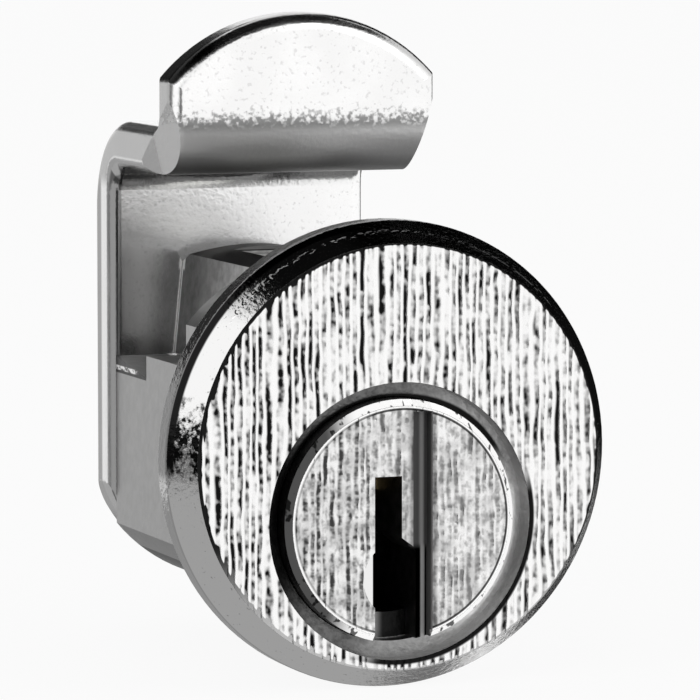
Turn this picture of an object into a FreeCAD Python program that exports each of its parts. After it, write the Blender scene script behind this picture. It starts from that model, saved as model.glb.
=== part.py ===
import FreeCAD, Part
import math
import os
import Sketcher

# A pin-tumbler mailbox lock with a hook-shaped cam, in millimetres.
# The barrel lies along Y and the origin is where its axis crosses the flange's seat on the door.
# The key goes in towards +Y, +X is to the right as the key is put in, and +Z is up.
# The plug's own axis runs below the barrel's, so pieces that turn with the plug are drawn about it.

SIZES = {
    # flange and barrel
    "rim_radius": 12.2,
    "rim_bevel_width": 1.1,
    "rim_bevel_depth": 1.85,
    "rim_round": 0.3,
    "flange_thickness": 3.0,
    "barrel_radius": 9.525,
    "barrel_length": 21.35,
    "barrel_half_flats": 7.35,
    # pin housing that stands up between two stepped shoulders
    "bible_half_width": 3.03,
    "shoulder_start": 9.5,
    "shoulder_height": 3.75,
    "rear_shoulder_height": 2.5,
    "rear_shoulder_length": 5.25,
    "rear_shoulder_rise": 0.8,
    "bible_bevel_length": 2.3,
    "bible_bevel_drop": 1.1,
    # grooves across the flats for a spring clip behind the door
    "clip_groove_start": 3.0,
    "clip_groove_width": 1.4,
    "clip_groove_depth": 1.0,
    # plug and the recess that its head sits in
    "plug_drop": 3.31,
    "plug_radius": 5.0,
    "plug_clearance": 0.03,
    "head_radius": 6.35,
    "head_clearance": 0.05,
    "head_seat_depth": 2.2,
    "head_proud": 0.2,
    "head_bevel": 0.34,
    "ring_radius": 7.24,
    "ring_depth": 1.2,
    # keyway, with places given from the plug's axis
    "keyway_left": 1.5,
    "keyway_upper_width": 1.5,
    "keyway_lower_width": 2.6,
    "keyway_top": 2.38,
    "keyway_step_top": 0.84,
    "keyway_step_bottom": 1.66,
    "keyway_rear_margin": 4.55,
    "guide_left": 0.63,
    "guide_width": 1.08,
    "guide_depth": 0.83,
    "guide_top": 5.7,
    "wear_radius": 2.0,
    "wear_middle": 2.97,
    "wear_bulge": 0.62,
    "wear_depth": 0.3,
    "wear_overlap": 0.05,
    # pin stacks
    "first_pin": 2.0,
    "last_pin_rear_margin": 6.15,
    "chamber_wall": 0.4,
    "pin_clearance": 0.05,
    "pin_edge": 0.2,
    "pin_tip_radius": 0.6,
    "pin_tip_height": 0.9,
    "pin_headroom": 0.25,
    "key_pin_1_length": 4.4,
    "key_pin_2_length": 5.2,
    "key_pin_3_length": 3.8,
    "key_pin_4_length": 5.6,
    "key_pin_5_length": 4.8,
    "pin_travel": 1.6,
    "driver_gap": 0.04,
    "driver_length": 2.8,
    "spring_wire_radius": 0.13,
    "spring_side_gap": 0.22,
    "spring_end_gap": 0.01,
    # strip that closes the chambers
    "cover_floor": 8.35,
    "cover_half_width": 1.8,
    "cover_thickness": 0.8,
    "cover_start": 0.3,
    "cover_rear_margin": 4.05,
    "cover_clearance": 0.02,
    # plug's tail and what is stacked on it
    "end_float": 0.05,
    "washer_radius": 5.75,
    "washer_clearance": 0.05,
    "washer_thickness": 1.0,
    "tab_radius": 6.4,
    "tab_half_width": 1.2,
    "tail_radius": 3.5,
    "tail_half_flats": 2.6,
    "tail_clearance": 0.03,
    "tail_shortfall": 0.3,
    # cam, with heights given from the plug's axis
    "sheet_thickness": 2.66,
    "cam_left_width": 7.75,
    "cam_right_width": 7.5,
    "rear_bend_outside": 5.0,
    "rear_bend_inside": 1.3,
    "hook_bend_outside": 3.3,
    "hook_bend_inside": 0.65,
    "shelf_top": 19.75,
    "hook_reach": 10.8,
    "hook_top": 25.85,
    "tip_radius": 10.15,
    "tip_front_round": 0.9,
    "tip_back_round": 0.5,
    "tip_margin": 1.0,
    "heel_radius": 8.15,
    "heel_rise": 1.98,
    "cam_corner_round": 0.8,
    "cam_front_round": 0.3,
    "cam_back_round": 0.15,
    # how the sides draw in where the sheet is stretched round the hook's bend
    "pinch_top": 21.84,
    "pinch_height": 6.0,
    "pinch_length": 5.0,
    "pinch_margin": 1.0,
    "pinch_start": 0.15,
    "pinch_left_growth": 1.5,
    "pinch_right_growth": 1.8,
    "pinch_fade": 1.15,
    # screw and split washer
    "screw_radius": 1.95,
    "screw_clearance": 0.05,
    "screw_length": 7.0,
    "tapped_depth": 6.6,
    "screw_head_radius": 3.9,
    "screw_head_height": 2.4,
    "screw_head_round": 1.1,
    "slot_half_width": 0.5,
    "slot_depth": 1.1,
    "lock_washer_outer": 3.7,
    "lock_washer_inner": 2.15,
    "lock_washer_thickness": 0.9,
    "lock_washer_half_split": 0.4,
}

SHEET_NAME = "Sizes"
KEY_PIN_LENGTHS = [
    "key_pin_1_length",
    "key_pin_2_length",
    "key_pin_3_length",
    "key_pin_4_length",
    "key_pin_5_length",
]
BIBLE_DRAFT = 10
SPRING_TURNS = 5
QUARTERS_IN_A_TURN = 4
PLACES_MEASURED_IN_A_TURN = 40
FULL_TURN = 360
SAME_PLACE = 1e-4


class Dimension:
    """A length together with the formula that ties it to the sheet."""

    def __init__(self, value, formula):
        self.value = value
        self.formula = formula

    def __add__(self, other):
        return Dimension(self.value + other.value, f"({self.formula} + {other.formula})")

    def __sub__(self, other):
        return Dimension(self.value - other.value, f"({self.formula} - {other.formula})")

    def __neg__(self):
        return Dimension(-self.value, f"(0 - {self.formula})")

    def __mul__(self, count):
        return Dimension(self.value * count, f"({self.formula} * {count})")

    def __truediv__(self, count):
        return Dimension(self.value / count, f"({self.formula} / {count})")


def size(name):
    """The named size as a dimension."""
    return Dimension(SIZES[name], f"{SHEET_NAME}.{name}")


def other_leg(slant, leg):
    """The second leg of a right triangle, such as half a chord at a distance from the centre."""
    value = math.sqrt(slant.value ** 2 - leg.value ** 2)
    return Dimension(value, f"sqrt({slant.formula} ^ 2 - {leg.formula} ^ 2)")


ZERO = Dimension(0, "0")
AXIS = (ZERO, ZERO)


def make_sheet(document):
    """The driving sizes as plain numbers, each with its name as an alias."""
    sheet = document.addObject("Spreadsheet::Sheet", SHEET_NAME)
    for row, (name, value) in enumerate(SIZES.items(), start=1):
        sheet.set(f"A{row}", name)
        sheet.set(f"B{row}", str(value))
        sheet.setAlias(f"B{row}", name)
    document.recompute()


def new_body(document, name, drop=ZERO):
    """An empty body, lowered from the barrel's axis by drop."""
    body = document.addObject("PartDesign::Body", name)
    body.Label = name
    body.setExpression("Placement.Base.z", (-drop).formula)
    return body


def sketch_on(body, role, name, level):
    """A sketch on one of the body's own planes, moved along the plane's normal by level."""
    plane = next(feature for feature in body.Origin.OriginFeatures if feature.Role == role)
    sketch = body.newObject("Sketcher::SketchObject", name)
    sketch.AttachmentSupport = [(plane, "")]
    sketch.MapMode = "FlatFace"
    sketch.setExpression("AttachmentOffset.Base.z", level.formula)
    return sketch


def cross_section(body, name, depth):
    """A sketch across the barrel's axis, at a depth behind the flange's seat."""
    return sketch_on(body, "XZ_Plane", name, -depth)


def plan_view(body, name, height):
    """A sketch seen from above, at a height."""
    return sketch_on(body, "XY_Plane", name, height)


def side_view(body, name):
    """A sketch in the upright plane through the axis, with depth across and height up."""
    return sketch_on(body, "YZ_Plane", name, ZERO)


def flat_point(place):
    return FreeCAD.Vector(place[0].value, place[1].value, 0)


def fix_point(sketch, geometry, point, place):
    """Hold a point of the geometry at a place."""
    for kind, distance in zip(("DistanceX", "DistanceY"), place):
        constraint = Sketcher.Constraint(kind, -1, 1, geometry, point, distance.value)
        index = sketch.addConstraint(constraint)
        sketch.setExpression(f"Constraints[{index}]", distance.formula)


def fix_radius(sketch, geometry, radius):
    index = sketch.addConstraint(Sketcher.Constraint("Radius", geometry, radius.value))
    sketch.setExpression(f"Constraints[{index}]", radius.formula)


def join(sketch, first, following):
    """The end of one edge meets the start of the next."""
    sketch.addConstraint(Sketcher.Constraint("Coincident", first, 2, following, 1))


def outline(sketch, corners):
    """A closed run of straight lines."""
    ends = corners[1:] + corners[:1]
    lines = []
    for start, end in zip(corners, ends):
        lines.append(sketch.addGeometry(Part.LineSegment(flat_point(start), flat_point(end))))
    for line, following in zip(lines, lines[1:] + lines[:1]):
        join(sketch, line, following)
    for line, corner in zip(lines, corners):
        fix_point(sketch, line, 1, corner)


def rectangle(sketch, left, right, low, high):
    outline(sketch, [(left, low), (right, low), (right, high), (left, high)])


def pair_of_rectangles(sketch, inner, outer, low, high):
    """The same rectangle on both sides of the upright centre line."""
    rectangle(sketch, inner, outer, low, high)
    rectangle(sketch, -outer, -inner, low, high)


def beside_the_bible(sketch, low, high):
    """What is cut away on both sides of the pin housing, whose walls lean in one in BIBLE_DRAFT."""
    upper = size("bible_half_width")
    lower = upper + (high - low) / BIBLE_DRAFT
    outline(sketch, [(lower, low), (high, low), (high, high), (upper, high)])
    outline(sketch, [(-high, low), (-lower, low), (-upper, high), (-high, high)])


def circle(sketch, centre, radius):
    upright = FreeCAD.Vector(0, 0, 1)
    geometry = sketch.addGeometry(Part.Circle(flat_point(centre), upright, radius.value))
    fix_point(sketch, geometry, 3, centre)
    fix_radius(sketch, geometry, radius)


def arc(sketch, centre, radius, start, end):
    """An arc that runs anticlockwise from one place to another; its ends are joined later."""
    upright = FreeCAD.Vector(0, 0, 1)
    angles = []
    for place in (start, end):
        across = place[0].value - centre[0].value
        up = place[1].value - centre[1].value
        angles.append(math.atan2(up, across))
    whole = Part.Circle(flat_point(centre), upright, radius.value)
    geometry = sketch.addGeometry(Part.ArcOfCircle(whole, angles[0], angles[1]))
    fix_point(sketch, geometry, 3, centre)
    fix_radius(sketch, geometry, radius)
    return geometry


def round_ended(sketch, left_width, right_width, top_rise, top_radius, foot_rise, foot_radius):
    """Two upright sides joined by an arc at the top and one at the foot."""
    top_centre = (ZERO, top_rise)
    foot_centre = (ZERO, foot_rise)
    right_low = (right_width, foot_rise - other_leg(foot_radius, right_width))
    right_high = (right_width, top_rise + other_leg(top_radius, right_width))
    left_high = (-left_width, top_rise + other_leg(top_radius, left_width))
    left_low = (-left_width, foot_rise - other_leg(foot_radius, left_width))
    right = sketch.addGeometry(Part.LineSegment(flat_point(right_low), flat_point(right_high)))
    top = arc(sketch, top_centre, top_radius, right_high, left_high)
    left = sketch.addGeometry(Part.LineSegment(flat_point(left_high), flat_point(left_low)))
    foot = arc(sketch, foot_centre, foot_radius, left_low, right_low)
    for first, following in ((right, top), (top, left), (left, foot), (foot, right)):
        join(sketch, first, following)
    for side, across in ((right, right_width), (left, -left_width)):
        sketch.addConstraint(Sketcher.Constraint("Vertical", side))
        constraint = Sketcher.Constraint("DistanceX", -1, 1, side, 1, across.value)
        index = sketch.addConstraint(constraint)
        sketch.setExpression(f"Constraints[{index}]", across.formula)


def double_d(sketch, radius, half_flats):
    """A round with two upright flats, about the axis."""
    round_ended(sketch, half_flats, half_flats, ZERO, radius, ZERO, radius)


def pad(body, sketch, length, name):
    """Material from the sketch towards +Y, for a sketch across the axis."""
    feature = body.newObject("PartDesign::Pad", name)
    feature.Profile = sketch
    feature.Reversed = True
    feature.setExpression("Length", length.formula)
    return feature


def pocket(body, sketch, length, name):
    """A cut from the sketch towards +Y across the axis, or downwards from a plan view."""
    feature = body.newObject("PartDesign::Pocket", name)
    feature.Profile = sketch
    feature.setExpression("Length", length.formula)
    return feature


def pocket_through(body, sketch, name):
    """A cut right through the body, both ways."""
    feature = body.newObject("PartDesign::Pocket", name)
    feature.Profile = sketch
    feature.Type = "ThroughAll"
    feature.SideType = "Symmetric"
    return feature


def turned(body, sketch, axis_name, name):
    """A full turn of the sketch about one of its own axes."""
    feature = body.newObject("PartDesign::Revolution", name)
    feature.Profile = sketch
    feature.ReferenceAxis = (sketch, [axis_name])
    feature.Angle = FULL_TURN
    return feature


def edge_names(feature, wanted):
    """Names of the edges that pass a test on their own geometry."""
    edges = enumerate(feature.Shape.Edges, start=1)
    return [f"Edge{index}" for index, edge in edges if wanted(edge)]


def rounded(document, body, base, wanted, radius, name):
    """A fillet on the wanted edges of the base feature."""
    document.recompute()
    feature = body.newObject("PartDesign::Fillet", name)
    feature.Base = (base, edge_names(base, wanted))
    feature.setExpression("Radius", radius.formula)
    return feature


def is_close(first, second):
    return abs(first - second) < SAME_PLACE


# Sizes that several pieces share

seat_to_face = size("flange_thickness")
plug_axis = (ZERO, -size("plug_drop"))
bore_radius = size("plug_radius") + size("plug_clearance")
barrel_end = size("barrel_length")
first_pin = size("first_pin")
last_pin = barrel_end - size("last_pin_rear_margin")
pin_spacing = (last_pin - first_pin) / (len(KEY_PIN_LENGTHS) - 1)
pin_places = [first_pin + pin_spacing * index for index in range(len(KEY_PIN_LENGTHS))]
chamber_radius = (pin_spacing - size("chamber_wall")) / 2
pin_radius = chamber_radius - size("pin_clearance")
washer_recess = barrel_end - size("washer_thickness")
plug_end = washer_recess + size("end_float")
plate_front = plug_end + size("washer_thickness")
plate_back = plate_front + size("sheet_thickness")
tail_end = plate_back - size("tail_shortfall")
shear_line = bore_radius - size("plug_drop")
driver_foot = shear_line + size("driver_gap")
driver_top = driver_foot + size("driver_length")


def make_shell(document):
    """Flange, barrel and pin housing in one casting."""
    body = new_body(document, "shell")
    profile = side_view(body, "shell_profile")
    front = -seat_to_face
    outline(profile, [
        (front, ZERO),
        (front, size("rim_radius") - size("rim_bevel_width")),
        (front + size("rim_bevel_depth"), size("rim_radius")),
        (ZERO, size("rim_radius")),
        (ZERO, size("barrel_radius")),
        (barrel_end, size("barrel_radius")),
        (barrel_end, ZERO),
    ])
    blank = turned(body, profile, "H_Axis", "shell_blank")

    widest = size("rim_radius")

    def rim_edge(edge):
        return is_close(edge.BoundBox.ZMax, widest.value) and edge.BoundBox.YMax < -SAME_PLACE

    rounded(document, body, blank, rim_edge, size("rim_round"), "rim_rounding")

    flats = cross_section(body, "flats_sketch", ZERO)
    pair_of_rectangles(flats, size("barrel_half_flats"), widest, -widest, widest)
    pocket(body, flats, barrel_end, "flats")

    steps = (
        ("shoulders", size("shoulder_start"), size("shoulder_height")),
        ("rear_shoulders", barrel_end - size("rear_shoulder_length"), size("rear_shoulder_height")),
    )
    for name, start, height in steps:
        sketch = cross_section(body, f"{name}_sketch", start)
        beside_the_bible(sketch, height, widest)
        pocket(body, sketch, barrel_end - start, name)

    ramp = side_view(body, "shoulder_ramp_sketch")
    ramp_front = barrel_end - size("rear_shoulder_length")
    ramp_foot = size("rear_shoulder_height") - size("rear_shoulder_rise")
    outline(ramp, [
        (ramp_front, ramp_foot),
        (barrel_end, ramp_foot),
        (barrel_end, size("rear_shoulder_height") + size("rear_shoulder_rise")),
        (ramp_front, size("rear_shoulder_height")),
    ])
    ramp_pad = body.newObject("PartDesign::Pad", "shoulder_ramp")
    ramp_pad.Profile = ramp
    ramp_pad.SideType = "Symmetric"
    ramp_pad.setExpression("Length", (size("barrel_half_flats") * 2).formula)

    bevel = side_view(body, "bible_bevel_sketch")
    outline(bevel, [
        (barrel_end - size("bible_bevel_length"), size("barrel_radius")),
        (barrel_end, size("barrel_radius") - size("bible_bevel_drop")),
        (barrel_end + seat_to_face, size("barrel_radius") - size("bible_bevel_drop")),
        (barrel_end + seat_to_face, widest),
        (barrel_end - size("bible_bevel_length"), widest),
    ])
    pocket_through(body, bevel, "bible_bevel")

    clip = cross_section(body, "clip_groove_sketch", size("clip_groove_start"))
    groove_floor = size("barrel_half_flats") - size("clip_groove_depth")
    pair_of_rectangles(clip, groove_floor, widest, -widest, widest)
    pocket(body, clip, size("clip_groove_width"), "clip_grooves")

    cuts = (
        ("bore", -seat_to_face, bore_radius, seat_to_face + barrel_end),
        ("head_seat", -seat_to_face, size("head_radius") + size("head_clearance"), size("head_seat_depth")),
        ("ring", -seat_to_face, size("ring_radius"), size("ring_depth")),
        ("washer_recess", washer_recess, size("washer_radius") + size("washer_clearance"),
         size("washer_thickness")),
    )
    for name, start, radius, length in cuts:
        sketch = cross_section(body, f"{name}_sketch", start)
        circle(sketch, plug_axis, radius)
        pocket(body, sketch, length, name)

    tab_sweep = cross_section(body, "tab_sweep_sketch", washer_recess)
    quarter_for_tab(tab_sweep)
    pocket(body, tab_sweep, size("washer_thickness"), "tab_sweep")

    cover = plan_view(body, "cover_groove_sketch", widest)
    rectangle(cover, -size("cover_half_width"), size("cover_half_width"),
              size("cover_start"), barrel_end - size("cover_rear_margin"))
    pocket(body, cover, widest - size("cover_floor"), "cover_groove")

    chambers = plan_view(body, "chambers_sketch", size("cover_floor"))
    for depth in pin_places:
        circle(chambers, (ZERO, depth), chamber_radius)
    pocket(body, chambers, size("cover_floor") + size("plug_drop"), "chambers")
    return body


def quarter_for_tab(sketch):
    """The quarter turn that the stop washer's tab runs in, between its two stops."""
    reach = size("tab_radius") + size("washer_clearance")
    side = size("tab_half_width") + size("washer_clearance")
    chord = other_leg(reach, side)
    axis_height = plug_axis[1]
    corner = (-side, axis_height - side)
    top = (-side, axis_height + chord)
    right = (chord, axis_height - side)
    stop = sketch.addGeometry(Part.LineSegment(flat_point(top), flat_point(corner)))
    end_stop = sketch.addGeometry(Part.LineSegment(flat_point(corner), flat_point(right)))
    sweep = arc(sketch, plug_axis, reach, right, top)
    for first, following in ((stop, end_stop), (end_stop, sweep), (sweep, stop)):
        join(sketch, first, following)
    sketch.addConstraint(Sketcher.Constraint("Vertical", stop))
    sketch.addConstraint(Sketcher.Constraint("Horizontal", end_stop))
    fix_point(sketch, end_stop, 1, corner)


def make_plug(document):
    """Round head, keyway, pin chambers and keyed tail."""
    body = new_body(document, "plug", size("plug_drop"))
    head_front = -(seat_to_face + size("head_proud"))
    head = cross_section(body, "head_sketch", head_front)
    circle(head, AXIS, size("head_radius"))
    head_length = size("head_proud") + size("head_seat_depth") - size("head_clearance")
    head_pad = pad(body, head, head_length, "head")

    def front_edge(edge):
        return is_close(edge.BoundBox.YMax, head_front.value)

    document.recompute()
    bevel = body.newObject("PartDesign::Chamfer", "head_bevel")
    bevel.Base = (head_pad, edge_names(head_pad, front_edge))
    bevel.setExpression("Size", size("head_bevel").formula)

    barrel = cross_section(body, "plug_sketch", -seat_to_face)
    circle(barrel, AXIS, size("plug_radius"))
    pad(body, barrel, seat_to_face + plug_end, "plug_barrel")

    tail = cross_section(body, "tail_sketch", plug_end)
    double_d(tail, size("tail_radius"), size("tail_half_flats"))
    pad(body, tail, tail_end - plug_end, "tail")

    below_head = -(size("head_radius") + size("head_bevel"))
    left = -size("keyway_left")
    upper_right = left + size("keyway_upper_width")
    lower_right = left + size("keyway_lower_width")
    keyway = cross_section(body, "keyway_sketch", head_front)
    outline(keyway, [
        (left, below_head),
        (lower_right, below_head),
        (lower_right, -size("keyway_step_bottom")),
        (upper_right, -size("keyway_step_top")),
        (upper_right, size("keyway_top")),
        (left, size("keyway_top")),
    ])
    keyway_end = barrel_end - size("keyway_rear_margin")
    pocket(body, keyway, keyway_end - head_front, "keyway")

    guide = cross_section(body, "guide_sketch", head_front)
    rectangle(guide, size("guide_left"), size("guide_left") + size("guide_width"),
              below_head, size("guide_top"))
    pocket(body, guide, size("guide_depth"), "guide_groove")

    wear = cross_section(body, "wear_sketch", head_front)
    worn_side(wear, left)
    pocket(body, wear, size("wear_depth"), "worn_side")

    chambers = plan_view(body, "plug_chambers_sketch", size("plug_radius"))
    for depth in pin_places:
        circle(chambers, (ZERO, depth), chamber_radius)
    longest = size("plug_radius") + size("plug_radius") - size("keyway_top")
    pocket(body, chambers, longest, "plug_chambers")

    tapped = cross_section(body, "tapped_sketch", tail_end - size("tapped_depth"))
    circle(tapped, AXIS, size("screw_radius") + size("screw_clearance"))
    pocket(body, tapped, size("tapped_depth"), "tapped_hole")
    return body


def worn_side(sketch, left):
    """A crescent worn into the keyway's left edge by keys."""
    radius = size("wear_radius")
    middle = -size("wear_middle")
    centre = (left - size("wear_bulge") + radius, middle)
    edge = left + size("wear_overlap")
    chord = other_leg(radius, centre[0] - edge)
    top = (edge, middle + chord)
    bottom = (edge, middle - chord)
    bow = arc(sketch, centre, radius, top, bottom)
    straight = sketch.addGeometry(Part.LineSegment(flat_point(bottom), flat_point(top)))
    join(sketch, bow, straight)
    join(sketch, straight, bow)
    sketch.addConstraint(Sketcher.Constraint("Vertical", straight))
    constraint = Sketcher.Constraint("DistanceX", -1, 1, straight, 1, edge.value)
    index = sketch.addConstraint(constraint)
    sketch.setExpression(f"Constraints[{index}]", edge.formula)


def make_turned_pin(document, name, profile_corners, depth, foot):
    """A pin turned about its upright axis, standing at a depth with its foot at a height."""
    body = document.addObject("PartDesign::Body", name)
    body.Label = name
    body.setExpression("Placement.Base.y", depth.formula)
    body.setExpression("Placement.Base.z", foot.formula)
    profile = cross_section(body, f"{name}_profile", ZERO)
    outline(profile, profile_corners)
    turned(body, profile, "V_Axis", f"{name}_turning")
    return body


def make_key_pins(document):
    """Pins that rest on the key: tapered below, flat on top just under the plug's skin."""
    top = size("plug_radius") - size("pin_headroom") - size("plug_drop")
    edge = size("pin_edge")
    pins = []
    for number, (length_name, depth) in enumerate(zip(KEY_PIN_LENGTHS, pin_places), start=1):
        length = size(length_name)
        corners = [
            (ZERO, ZERO),
            (size("pin_tip_radius"), ZERO),
            (pin_radius, size("pin_tip_height")),
            (pin_radius, length - edge),
            (pin_radius - edge, length),
            (ZERO, length),
        ]
        pins.append(make_turned_pin(document, f"key_pin_{number}", corners, depth, top - length))
    return pins


def make_driver_pins(document):
    """Plain pins above the shear line."""
    edge = size("pin_edge")
    length = size("driver_length")
    corners = [
        (ZERO, ZERO),
        (pin_radius - edge, ZERO),
        (pin_radius, edge),
        (pin_radius, length - edge),
        (pin_radius - edge, length),
        (ZERO, length),
    ]
    pins = []
    for number, depth in enumerate(pin_places, start=1):
        pins.append(make_turned_pin(document, f"driver_pin_{number}", corners, depth, driver_foot))
    return pins


def helix_point(radius, pitch, angle):
    return FreeCAD.Vector(radius * math.cos(angle), radius * math.sin(angle), pitch * angle / math.tau)


def helix_tangent(radius, pitch, angle):
    rise = pitch / math.tau
    return FreeCAD.Vector(-radius * math.sin(angle), radius * math.cos(angle), rise).normalize()


def tangent_arc(start, corner, end):
    """The arc from start to end whose tangents there meet at the corner."""
    middle = (start + end) * 0.5
    half_chord = (end - start).Length / 2
    rise = (corner - middle).Length
    radius = (corner - start).Length * half_chord / rise
    bow = radius - math.sqrt(radius ** 2 - half_chord ** 2)
    return Part.Arc(start, middle + (corner - middle) * (bow / rise), end).toShape()


def two_arcs(start, start_tangent, end, end_tangent):
    """Two arcs that meet smoothly between two points with given tangents."""
    span = end - start
    along = span.dot(start_tangent + end_tangent)
    spread = 2 * (1 - start_tangent.dot(end_tangent))
    reach = (math.sqrt(along ** 2 + spread * span.dot(span)) - along) / spread
    first_corner = start + start_tangent * reach
    last_corner = end - end_tangent * reach
    meeting = (first_corner + last_corner) * 0.5
    return [tangent_arc(start, first_corner, meeting), tangent_arc(meeting, last_corner, end)]


def make_springs(document):
    """Coil springs between the driver pins and the cover, each one unbroken wire."""
    wire_radius = size("spring_wire_radius").value
    coil_radius = chamber_radius.value - size("spring_side_gap").value - wire_radius
    end_gap = size("spring_end_gap").value
    foot = driver_top.value + end_gap + wire_radius
    head = size("cover_floor").value - end_gap - wire_radius
    pitch = (head - foot) / SPRING_TURNS
    step = math.tau / QUARTERS_IN_A_TURN
    angles = [step * index for index in range(SPRING_TURNS * QUARTERS_IN_A_TURN + 1)]
    edges = []
    for start, end in zip(angles, angles[1:]):
        edges += two_arcs(
            helix_point(coil_radius, pitch, start), helix_tangent(coil_radius, pitch, start),
            helix_point(coil_radius, pitch, end), helix_tangent(coil_radius, pitch, end),
        )
    path = Part.Wire(edges)
    start = helix_point(coil_radius, pitch, 0)
    section = Part.Wire(Part.makeCircle(wire_radius, start, helix_tangent(coil_radius, pitch, 0)))
    tube = path.makePipeShell([section], True, False)
    print("spring volume", round(tube.Volume, 4), "section times length",
          round(math.pi * wire_radius ** 2 * path.Length, 4))
    print("spring least gap to itself", round(least_gap(path, wire_radius, pitch, coil_radius), 3))
    springs = []
    for number, depth in enumerate(pin_places, start=1):
        name = f"pin_spring_{number}"
        spring = document.addObject("Part::Feature", name)
        spring.Label = name
        spring.Shape = tube
        spring.Placement = FreeCAD.Placement(FreeCAD.Vector(0, depth.value, foot), FreeCAD.Rotation())
        springs.append(spring)
    return springs


def least_gap(path, wire_radius, pitch, coil_radius):
    """The smallest gap between stretches of the wire that are half a turn or more apart."""
    points = path.discretize(Number=SPRING_TURNS * PLACES_MEASURED_IN_A_TURN)
    half_turn = math.hypot(math.pi * coil_radius, pitch / 2)
    step = path.Length / (len(points) - 1)
    apart = math.ceil(half_turn / step)
    nearest = min(
        (points[later] - points[index]).Length
        for index in range(len(points) - apart)
        for later in range(index + apart, len(points))
    )
    return nearest - 2 * wire_radius


def make_chamber_cover(document):
    """The strip staked into the groove over the pin chambers."""
    body = document.addObject("PartDesign::Body", "chamber_cover")
    body.Label = "chamber_cover"
    clearance = size("cover_clearance")
    half_width = size("cover_half_width") - clearance
    sketch = plan_view(body, "cover_sketch", size("cover_floor") + size("cover_thickness"))
    rectangle(sketch, -half_width, half_width, size("cover_start") + clearance,
              barrel_end - size("cover_rear_margin") - clearance)
    strip = body.newObject("PartDesign::Pad", "cover_strip")
    strip.Profile = sketch
    strip.Reversed = True
    strip.setExpression("Length", size("cover_thickness").formula)
    return body


def cut_tail_hole(body, start, length, name):
    """The keyed hole that slides over the plug's tail."""
    sketch = cross_section(body, f"{name}_sketch", start)
    clearance = size("tail_clearance")
    double_d(sketch, size("tail_radius") + clearance, size("tail_half_flats") + clearance)
    return pocket(body, sketch, length, name)


def make_stop_washer(document):
    """Keyed washer that holds the plug in, with a tab that meets the stops in the shell."""
    body = new_body(document, "stop_washer", size("plug_drop"))
    disc = cross_section(body, "washer_sketch", plug_end)
    circle(disc, AXIS, size("washer_radius"))
    pad(body, disc, size("washer_thickness"), "washer_disc")
    tab = cross_section(body, "tab_sketch", plug_end)
    tab_end = other_leg(size("tab_radius"), size("tab_half_width"))
    rectangle(tab, -size("tab_half_width"), size("tab_half_width"), ZERO, tab_end)
    pad(body, tab, size("washer_thickness"), "tab")
    cut_tail_hole(body, plug_end, size("washer_thickness"), "washer_hole")
    return body


def make_hook_cam(document):
    """Thick sheet bent forward into a shelf and up into a round-topped hook."""
    body = new_body(document, "hook_cam", size("plug_drop"))
    thickness = size("sheet_thickness")
    hook_front = plate_front - size("hook_reach")
    hook_back = hook_front + thickness
    shelf_top = size("shelf_top")
    shelf_underside = shelf_top - thickness
    above = size("hook_top") + thickness
    below = size("heel_rise") - size("heel_radius") - thickness
    profile = side_view(body, "cam_profile")
    outline(profile, [
        (plate_front, below),
        (plate_back, below),
        (plate_back, shelf_top),
        (hook_back, shelf_top),
        (hook_back, above),
        (hook_front, above),
        (hook_front, shelf_underside),
        (plate_front, shelf_underside),
    ])
    strip = body.newObject("PartDesign::Pad", "cam_strip")
    strip.Profile = profile
    strip.SideType = "Symmetric"
    strip.setExpression("Length", (size("cam_left_width") * 2).formula)

    def at_corner(depth, height):
        def wanted(edge):
            box = edge.BoundBox
            flat = is_close(box.YMin, box.YMax) and is_close(box.ZMin, box.ZMax)
            return flat and is_close(box.YMin, depth.value) and is_close(box.ZMin, height.value)
        return wanted

    bends = (
        ("rear_bend_outside", plate_back, shelf_top),
        ("rear_bend_inside", plate_front, shelf_underside),
        ("hook_bend_outside", hook_front, shelf_underside),
        ("hook_bend_inside", hook_back, shelf_top),
    )
    feature = strip
    for name, depth, height in bends:
        feature = rounded(document, body, feature, at_corner(depth, height), size(name), name)

    far = size("hook_top") * 2
    trim = cross_section(body, "cam_outline", ZERO)
    rectangle(trim, -far, far, -far, far)
    round_ended(trim, size("cam_left_width"), size("cam_right_width"), size("hook_top") - size("tip_radius"),
                size("tip_radius"), size("heel_rise"), size("heel_radius"))
    trimmed = pocket_through(body, trim, "cam_trim")

    def through_the_sheet(edge):
        box = edge.BoundBox
        return is_close(box.XMin, box.XMax) and is_close(box.ZMin, box.ZMax)

    corner_round = size("cam_corner_round")
    rounded(document, body, trimmed, through_the_sheet, corner_round, "cam_corners")
    softened = pinch_the_bend(body, hook_front)

    def round_the_skin(depths, shelf):
        def touches(corner):
            upright = any(is_close(corner.Y, depth.value) for depth in depths)
            return upright or is_close(corner.Z, shelf.value)

        def wanted(edge):
            box = edge.BoundBox
            across_the_strip = is_close(box.YMin, box.YMax) and is_close(box.ZMin, box.ZMax)
            return all(touches(corner) for corner in edge.Vertexes) and not across_the_strip
        return wanted

    skins = (
        ("front", (plate_front, hook_front), shelf_underside),
        ("back", (plate_back, hook_back), shelf_top),
    )
    for side, depths, shelf in skins:
        outline_edges = round_the_skin(depths, shelf)
        edge_round = size(f"cam_{side}_round")
        softened = rounded(document, body, softened, outline_edges, edge_round, f"cam_{side}_edges")
    round_the_tip(body, "front", hook_front, -1)
    round_the_tip(body, "back", hook_back, 1)
    cut_tail_hole(body, plate_front, thickness, "cam_hole")
    return body


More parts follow.
